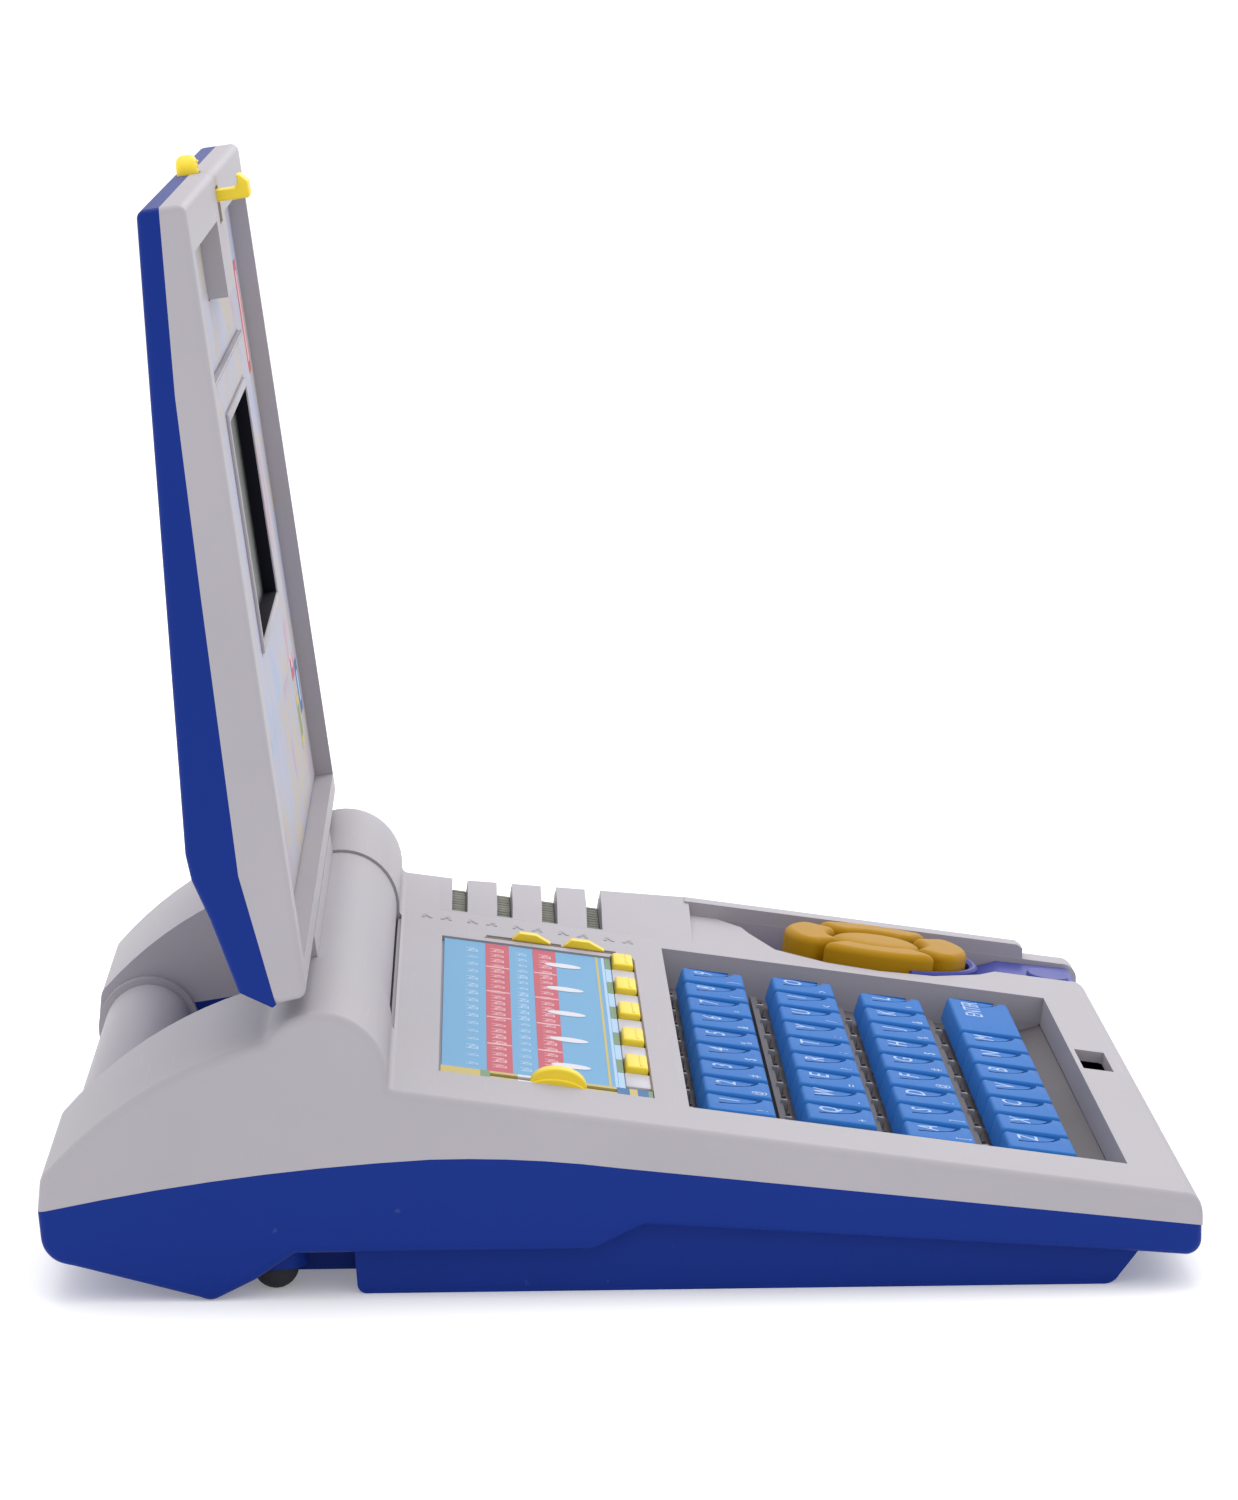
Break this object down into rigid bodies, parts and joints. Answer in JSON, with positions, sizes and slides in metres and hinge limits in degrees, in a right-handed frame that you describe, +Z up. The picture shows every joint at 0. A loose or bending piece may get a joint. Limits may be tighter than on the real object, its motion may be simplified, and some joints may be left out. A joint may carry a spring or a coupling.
{
  "type": "toy laptop computer",
  "caption": "Child's toy laptop: hinged lid with a small screen over a wedge keyboard base with direction pad, sliders, speaker slots and a rear carrying handle.",
  "frame": {"origin": "middle of the footprint on the surface that the toy rests on", "axes": "+X to the user's right, -Y towards the user, +Z up"},
  "size_m": [0.246, 0.228, 0.2175],
  "materials": {
    "shell_grey": "satin moulded ABS",
    "shell_blue": "satin moulded ABS",
    "key_blue": "semi-gloss moulded ABS",
    "button_yellow": "semi-gloss",
    "pad_gold": "satin",
    "tray_violet": "satin",
    "plate_grey": "satin",
    "membrane_rubber": "silicone sheet",
    "board_green": "solder mask",
    "speaker_black": "paper cone and frame",
    "card_print": "laminated print",
    "lid_print": "laminated print",
    "screen_glass": "screen window",
    "foot_rubber": "matt",
    "cell_jacket": "printed jacket",
    "spring_steel": "bare",
    "screw_steel": "zinc plated"
  },
  "bodies": {
    "base": {"upper_shell": "shell_grey", "lower_shell": "shell_blue", "handle_bar": "shell_grey", "battery_door": "shell_blue", "batteries": "cell_jacket", "battery_contacts": "spring_steel", "case_screws": "screw_steel", "rubber_feet": "foot_rubber", "keyboard_plate": "plate_grey", "key_membrane": "membrane_rubber", "main_board": "board_green", "speaker": "speaker_black", "activity_card": "card_print", "dpad_tray": "tray_violet"},
    "lid": {"lid_front_bezel": "shell_grey", "lid_back_cover": "shell_blue", "lcd_panel": "screen_glass", "lid_decal": "lid_print"},
    "latch_piece": {"latch": "button_yellow"},
    "power_knob": {"power_slider": "button_yellow"},
    "volume_knob": {"volume_slider": "button_yellow"},
    "contrast_knob": {"contrast_slider": "button_yellow"},
    "mode_comb": {"mode_buttons": "button_yellow"},
    "pad_ring": {"dpad_ring": "pad_gold"},
    "pad_centre": {"dpad_centre": "pad_gold"},
    "cap_1": {"key_1": "key_blue"},
    "cap_2": {"key_2": "key_blue"},
    "cap_3": {"key_3": "key_blue"},
    "cap_4": {"key_4": "key_blue"},
    "cap_5": {"key_5": "key_blue"},
    "cap_6": {"key_6": "key_blue"},
    "cap_7": {"key_7": "key_blue"},
    "cap_8": {"key_8": "key_blue"},
    "cap_9": {"key_9": "key_blue"},
    "cap_q": {"key_q": "key_blue"},
    "cap_w": {"key_w": "key_blue"},
    "cap_e": {"key_e": "key_blue"},
    "cap_r": {"key_r": "key_blue"},
    "cap_t": {"key_t": "key_blue"},
    "cap_y": {"key_y": "key_blue"},
    "cap_u": {"key_u": "key_blue"},
    "cap_i": {"key_i": "key_blue"},
    "cap_o": {"key_o": "key_blue"},
    "cap_a": {"key_a": "key_blue"},
    "cap_s": {"key_s": "key_blue"},
    "cap_d": {"key_d": "key_blue"},
    "cap_f": {"key_f": "key_blue"},
    "cap_g": {"key_g": "key_blue"},
    "cap_h": {"key_h": "key_blue"},
    "cap_j": {"key_j": "key_blue"},
    "cap_k": {"key_k": "key_blue"},
    "cap_l": {"key_l": "key_blue"},
    "cap_z": {"key_z": "key_blue"},
    "cap_x": {"key_x": "key_blue"},
    "cap_c": {"key_c": "key_blue"},
    "cap_v": {"key_v": "key_blue"},
    "cap_b": {"key_b": "key_blue"},
    "cap_n": {"key_n": "key_blue"},
    "cap_m": {"key_m": "key_blue"},
    "cap_enter": {"key_enter": "key_blue"}
  },
  "joints": [
    {"name": "lid_hinge", "type": "hinge", "parent": "base", "child": "lid", "pos_m": [0, 0.0586, 0.04395], "axis": [1, 0, 0], "range_deg": [0, 105.8]},
    {"name": "latch_slide", "type": "slide", "parent": "lid", "child": "latch_piece", "axis": [0, -0.1338, -0.991], "range_m": [0, 0.002], "stiffness_N_per_m": 400, "springref_m": -0.002},
    {"name": "power_slide", "type": "slide", "parent": "base", "child": "power_knob", "axis": [0, 0.9897, 0.1433], "range_m": [0, 0.01]},
    {"name": "volume_slide", "type": "slide", "parent": "base", "child": "volume_knob", "axis": [0, 0.9897, 0.1433], "range_m": [-0.0015, 0.0078]},
    {"name": "contrast_slide", "type": "slide", "parent": "base", "child": "contrast_knob", "axis": [0, 0.9897, 0.1433], "range_m": [-0.0048, 0.0012]},
    {"name": "mode_press", "type": "slide", "parent": "base", "child": "mode_comb", "axis": [0, 0.1433, -0.9897], "range_m": [0, 0.0012], "stiffness_N_per_m": 700, "springref_m": -0.0008},
    {"name": "pad_press", "type": "slide", "parent": "base", "child": "pad_ring", "axis": [0, 0.1433, -0.9897], "range_m": [0, 0.0015], "stiffness_N_per_m": 600, "springref_m": -0.001},
    {"name": "pad_centre_press", "type": "slide", "parent": "base", "child": "pad_centre", "axis": [0, 0.1433, -0.9897], "range_m": [0, 0.0015], "stiffness_N_per_m": 500, "springref_m": -0.001},
    {"name": "key_1_press", "type": "slide", "parent": "base", "child": "cap_1", "axis": [0, 0.1433, -0.9897], "range_m": [0, 0.0018], "stiffness_N_per_m": 450, "springref_m": -0.001},
    {"name": "key_2_press", "type": "slide", "parent": "base", "child": "cap_2", "axis": [0, 0.1433, -0.9897], "range_m": [0, 0.0018], "stiffness_N_per_m": 450, "springref_m": -0.001},
    {"name": "key_3_press", "type": "slide", "parent": "base", "child": "cap_3", "axis": [0, 0.1433, -0.9897], "range_m": [0, 0.0018], "stiffness_N_per_m": 450, "springref_m": -0.001},
    {"name": "key_4_press", "type": "slide", "parent": "base", "child": "cap_4", "axis": [0, 0.1433, -0.9897], "range_m": [0, 0.0018], "stiffness_N_per_m": 450, "springref_m": -0.001},
    {"name": "key_5_press", "type": "slide", "parent": "base", "child": "cap_5", "axis": [0, 0.1433, -0.9897], "range_m": [0, 0.0018], "stiffness_N_per_m": 450, "springref_m": -0.001},
    {"name": "key_6_press", "type": "slide", "parent": "base", "child": "cap_6", "axis": [0, 0.1433, -0.9897], "range_m": [0, 0.0018], "stiffness_N_per_m": 450, "springref_m": -0.001},
    {"name": "key_7_press", "type": "slide", "parent": "base", "child": "cap_7", "axis": [0, 0.1433, -0.9897], "range_m": [0, 0.0018], "stiffness_N_per_m": 450, "springref_m": -0.001},
    {"name": "key_8_press", "type": "slide", "parent": "base", "child": "cap_8", "axis": [0, 0.1433, -0.9897], "range_m": [0, 0.0018], "stiffness_N_per_m": 450, "springref_m": -0.001},
    {"name": "key_9_press", "type": "slide", "parent": "base", "child": "cap_9", "axis": [0, 0.1433, -0.9897], "range_m": [0, 0.0018], "stiffness_N_per_m": 450, "springref_m": -0.001},
    {"name": "key_q_press", "type": "slide", "parent": "base", "child": "cap_q", "axis": [0, 0.1433, -0.9897], "range_m": [0, 0.0018], "stiffness_N_per_m": 450, "springref_m": -0.001},
    {"name": "key_w_press", "type": "slide", "parent": "base", "child": "cap_w", "axis": [0, 0.1433, -0.9897], "range_m": [0, 0.0018], "stiffness_N_per_m": 450, "springref_m": -0.001},
    {"name": "key_e_press", "type": "slide", "parent": "base", "child": "cap_e", "axis": [0, 0.1433, -0.9897], "range_m": [0, 0.0018], "stiffness_N_per_m": 450, "springref_m": -0.001},
    {"name": "key_r_press", "type": "slide", "parent": "base", "child": "cap_r", "axis": [0, 0.1433, -0.9897], "range_m": [0, 0.0018], "stiffness_N_per_m": 450, "springref_m": -0.001},
    {"name": "key_t_press", "type": "slide", "parent": "base", "child": "cap_t", "axis": [0, 0.1433, -0.9897], "range_m": [0, 0.0018], "stiffness_N_per_m": 450, "springref_m": -0.001},
    {"name": "key_y_press", "type": "slide", "parent": "base", "child": "cap_y", "axis": [0, 0.1433, -0.9897], "range_m": [0, 0.0018], "stiffness_N_per_m": 450, "springref_m": -0.001},
    {"name": "key_u_press", "type": "slide", "parent": "base", "child": "cap_u", "axis": [0, 0.1433, -0.9897], "range_m": [0, 0.0018], "stiffness_N_per_m": 450, "springref_m": -0.001},
    {"name": "key_i_press", "type": "slide", "parent": "base", "child": "cap_i", "axis": [0, 0.1433, -0.9897], "range_m": [0, 0.0018], "stiffness_N_per_m": 450, "springref_m": -0.001},
    {"name": "key_o_press", "type": "slide", "parent": "base", "child": "cap_o", "axis": [0, 0.1433, -0.9897], "range_m": [0, 0.0018], "stiffness_N_per_m": 450, "springref_m": -0.001},
    {"name": "key_a_press", "type": "slide", "parent": "base", "child": "cap_a", "axis": [0, 0.1433, -0.9897], "range_m": [0, 0.0018], "stiffness_N_per_m": 450, "springref_m": -0.001},
    {"name": "key_s_press", "type": "slide", "parent": "base", "child": "cap_s", "axis": [0, 0.1433, -0.9897], "range_m": [0, 0.0018], "stiffness_N_per_m": 450, "springref_m": -0.001},
    {"name": "key_d_press", "type": "slide", "parent": "base", "child": "cap_d", "axis": [0, 0.1433, -0.9897], "range_m": [0, 0.0018], "stiffness_N_per_m": 450, "springref_m": -0.001},
    {"name": "key_f_press", "type": "slide", "parent": "base", "child": "cap_f", "axis": [0, 0.1433, -0.9897], "range_m": [0, 0.0018], "stiffness_N_per_m": 450, "springref_m": -0.001},
    {"name": "key_g_press", "type": "slide", "parent": "base", "child": "cap_g", "axis": [0, 0.1433, -0.9897], "range_m": [0, 0.0018], "stiffness_N_per_m": 450, "springref_m": -0.001},
    {"name": "key_h_press", "type": "slide", "parent": "base", "child": "cap_h", "axis": [0, 0.1433, -0.9897], "range_m": [0, 0.0018], "stiffness_N_per_m": 450, "springref_m": -0.001},
    {"name": "key_j_press", "type": "slide", "parent": "base", "child": "cap_j", "axis": [0, 0.1433, -0.9897], "range_m": [0, 0.0018], "stiffness_N_per_m": 450, "springref_m": -0.001},
    {"name": "key_k_press", "type": "slide", "parent": "base", "child": "cap_k", "axis": [0, 0.1433, -0.9897], "range_m": [0, 0.0018], "stiffness_N_per_m": 450, "springref_m": -0.001},
    {"name": "key_l_press", "type": "slide", "parent": "base", "child": "cap_l", "axis": [0, 0.1433, -0.9897], "range_m": [0, 0.0018], "stiffness_N_per_m": 450, "springref_m": -0.001},
    {"name": "key_z_press", "type": "slide", "parent": "base", "child": "cap_z", "axis": [0, 0.1433, -0.9897], "range_m": [0, 0.0018], "stiffness_N_per_m": 450, "springref_m": -0.001},
    {"name": "key_x_press", "type": "slide", "parent": "base", "child": "cap_x", "axis": [0, 0.1433, -0.9897], "range_m": [0, 0.0018], "stiffness_N_per_m": 450, "springref_m": -0.001},
    {"name": "key_c_press", "type": "slide", "parent": "base", "child": "cap_c", "axis": [0, 0.1433, -0.9897], "range_m": [0, 0.0018], "stiffness_N_per_m": 450, "springref_m": -0.001},
    {"name": "key_v_press", "type": "slide", "parent": "base", "child": "cap_v", "axis": [0, 0.1433, -0.9897], "range_m": [0, 0.0018], "stiffness_N_per_m": 450, "springref_m": -0.001},
    {"name": "key_b_press", "type": "slide", "parent": "base", "child": "cap_b", "axis": [0, 0.1433, -0.9897], "range_m": [0, 0.0018], "stiffness_N_per_m": 450, "springref_m": -0.001},
    {"name": "key_n_press", "type": "slide", "parent": "base", "child": "cap_n", "axis": [0, 0.1433, -0.9897], "range_m": [0, 0.0018], "stiffness_N_per_m": 450, "springref_m": -0.001},
    {"name": "key_m_press", "type": "slide", "parent": "base", "child": "cap_m", "axis": [0, 0.1433, -0.9897], "range_m": [0, 0.0018], "stiffness_N_per_m": 450, "springref_m": -0.001},
    {"name": "key_enter_press", "type": "slide", "parent": "base", "child": "cap_enter", "axis": [0, 0.1433, -0.9897], "range_m": [0, 0.0018], "stiffness_N_per_m": 450, "springref_m": -0.001}
  ]
}
